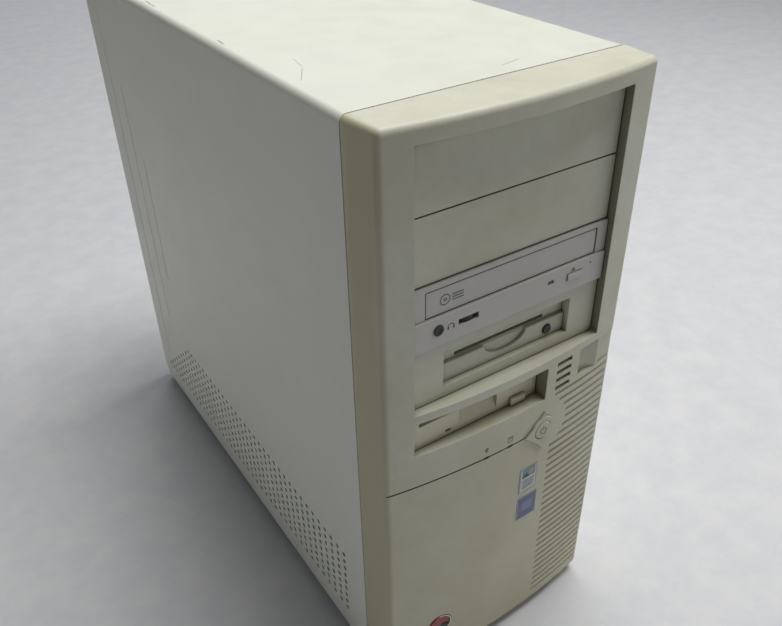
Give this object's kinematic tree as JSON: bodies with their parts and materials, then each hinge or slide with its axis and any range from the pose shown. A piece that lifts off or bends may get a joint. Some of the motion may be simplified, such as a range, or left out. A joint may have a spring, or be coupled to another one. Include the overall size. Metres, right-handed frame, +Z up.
{
  "type": "desktop computer tower",
  "caption": "Beige mid-tower desktop computer with a sliding steel cover, drive bays with sliding disc tray, keys, flaps, power button and ribbed front.",
  "frame": {"origin": "on the floor, under the middle of the bounding box", "axes": "+X to the right of someone facing the front, +Y towards the back, +Z up; the front bezel faces -Y"},
  "size_m": [0.196, 0.476, 0.44],
  "materials": {
    "cover_paint": "satin off-white enamel on steel sheet",
    "bezel_abs": "fine-grained warm beige moulding",
    "drive_abs": "cooler light grey moulding",
    "aged_abs": "yellowed beige moulding",
    "lamp_lens": "dark smoked lens",
    "label_film": "printed film",
    "plate_film": "plain coloured disc",
    "zinc_steel": "zinc-plated sheet",
    "screw_steel": "plated screws",
    "chrome_wire": "chromed wire",
    "cast_metal": "cast and extruded aluminium",
    "circuit_board": "green solder mask",
    "brass_posts": "turned brass",
    "black_plastic": "black moulding",
    "socket_plastic": "off-white moulding",
    "chip_package": "processor package",
    "cable_grey": "grey flat cable",
    "cable_black": "bundled leads",
    "red_plastic": "red slide"
  },
  "bodies": {
    "root": {"bezel": "bezel_abs", "button_surround": "bezel_abs", "status_lamps": "lamp_lens", "label_upper": "label_film", "label_lower": "label_film", "maker_plate": "plate_film", "bay_blanks": "bezel_abs", "cd_bezel": "drive_abs", "cd_chassis": "zinc_steel", "cd_front_board": "circuit_board", "drive_lamps": "lamp_lens", "drive_adapter": "bezel_abs", "cartridge_face": "bezel_abs", "cartridge_chassis": "zinc_steel", "floppy_face": "aged_abs", "floppy_chassis": "zinc_steel", "hard_disk": "cast_metal", "chassis_frame": "zinc_steel", "feet": "bezel_abs", "front_plate": "zinc_steel", "power_switch": "black_plastic", "drive_cage": "zinc_steel", "drive_screws": "screw_steel", "rear_panel": "zinc_steel", "board_tray": "zinc_steel", "motherboard": "circuit_board", "board_standoffs": "brass_posts", "board_components": "black_plastic", "board_sockets": "socket_plastic", "memory_modules": "circuit_board", "processor": "chip_package", "heat_sink": "cast_metal", "cooler_frame": "black_plastic", "io_shield": "zinc_steel", "io_ports": "zinc_steel", "video_card": "circuit_board", "modem_card": "circuit_board", "slot_covers": "zinc_steel", "psu_case": "zinc_steel", "psu_fan_frame": "black_plastic", "fan_guard": "chrome_wire", "power_inlet": "black_plastic", "voltage_selector": "black_plastic", "speaker": "black_plastic", "ribbon_cable": "cable_grey", "power_harness": "cable_black"},
    "cover": {"cover": "cover_paint", "cover_screws": "screw_steel"},
    "power_button": {"power_button": "bezel_abs"},
    "cd_tray": {"cd_tray": "drive_abs", "cd_door": "drive_abs"},
    "cd_eject_key": {"cd_eject_key": "drive_abs"},
    "cd_volume_wheel": {"cd_volume_wheel": "black_plastic"},
    "cartridge_flap": {"cartridge_flap": "drive_abs"},
    "cartridge_eject_key": {"cartridge_eject_key": "black_plastic"},
    "floppy_flap": {"floppy_flap": "aged_abs"},
    "floppy_eject_key": {"floppy_eject_key": "aged_abs"},
    "cooler_rotor": {"cooler_rotor": "black_plastic"},
    "psu_fan_rotor": {"psu_fan_rotor": "black_plastic"},
    "selector_slide": {"selector_slide": "red_plastic"}
  },
  "joints": [
    {"name": "cover_slide", "type": "slide", "parent": "root", "child": "cover", "axis": [0, 1, 0], "range_m": [0, 0.45]},
    {"name": "power_button_press", "type": "slide", "parent": "root", "child": "power_button", "axis": [0, 1, 0], "range_m": [0, 0.0025], "stiffness_N_per_m": 300},
    {"name": "cd_tray_slide", "type": "slide", "parent": "root", "child": "cd_tray", "axis": [0, -1, 0], "range_m": [0, 0.13]},
    {"name": "cd_eject_press", "type": "slide", "parent": "root", "child": "cd_eject_key", "axis": [0, 1, 0], "range_m": [0, 0.0012], "stiffness_N_per_m": 300},
    {"name": "cd_volume_turn", "type": "hinge", "parent": "root", "child": "cd_volume_wheel", "pos_m": [-0.0352, -0.2191, 0.3134], "axis": [0, 0, 1], "range_deg": [0, 270]},
    {"name": "cartridge_flap_swing", "type": "hinge", "parent": "root", "child": "cartridge_flap", "pos_m": [-0.0025, -0.2155, 0.2878], "axis": [1, 0, 0], "range_deg": [0, 80], "stiffness_Nm_per_rad": 0.002},
    {"name": "cartridge_eject_press", "type": "slide", "parent": "root", "child": "cartridge_eject_key", "axis": [0, 1, 0], "range_m": [0, 0.002], "stiffness_N_per_m": 300},
    {"name": "floppy_flap_swing", "type": "hinge", "parent": "root", "child": "floppy_flap", "pos_m": [-0.0233, -0.2213, 0.2502], "axis": [1, 0, 0], "range_deg": [0, 80], "stiffness_Nm_per_rad": 0.002},
    {"name": "floppy_eject_press", "type": "slide", "parent": "root", "child": "floppy_eject_key", "axis": [0, 1, 0], "range_m": [0, 0.003], "stiffness_N_per_m": 300},
    {"name": "cooler_fan_spin", "type": "hinge", "parent": "root", "child": "cooler_rotor", "pos_m": [0.0434, 0.1206, 0.285], "axis": [1, 0, 0], "continuous": true},
    {"name": "psu_fan_spin", "type": "hinge", "parent": "root", "child": "psu_fan_rotor", "pos_m": [0.028, 0.2116, 0.391], "axis": [0, 1, 0], "continuous": true},
    {"name": "voltage_selector_slide", "type": "slide", "parent": "root", "child": "selector_slide", "axis": [1, 0, 0], "range_m": [0, 0.0054]}
  ]
}
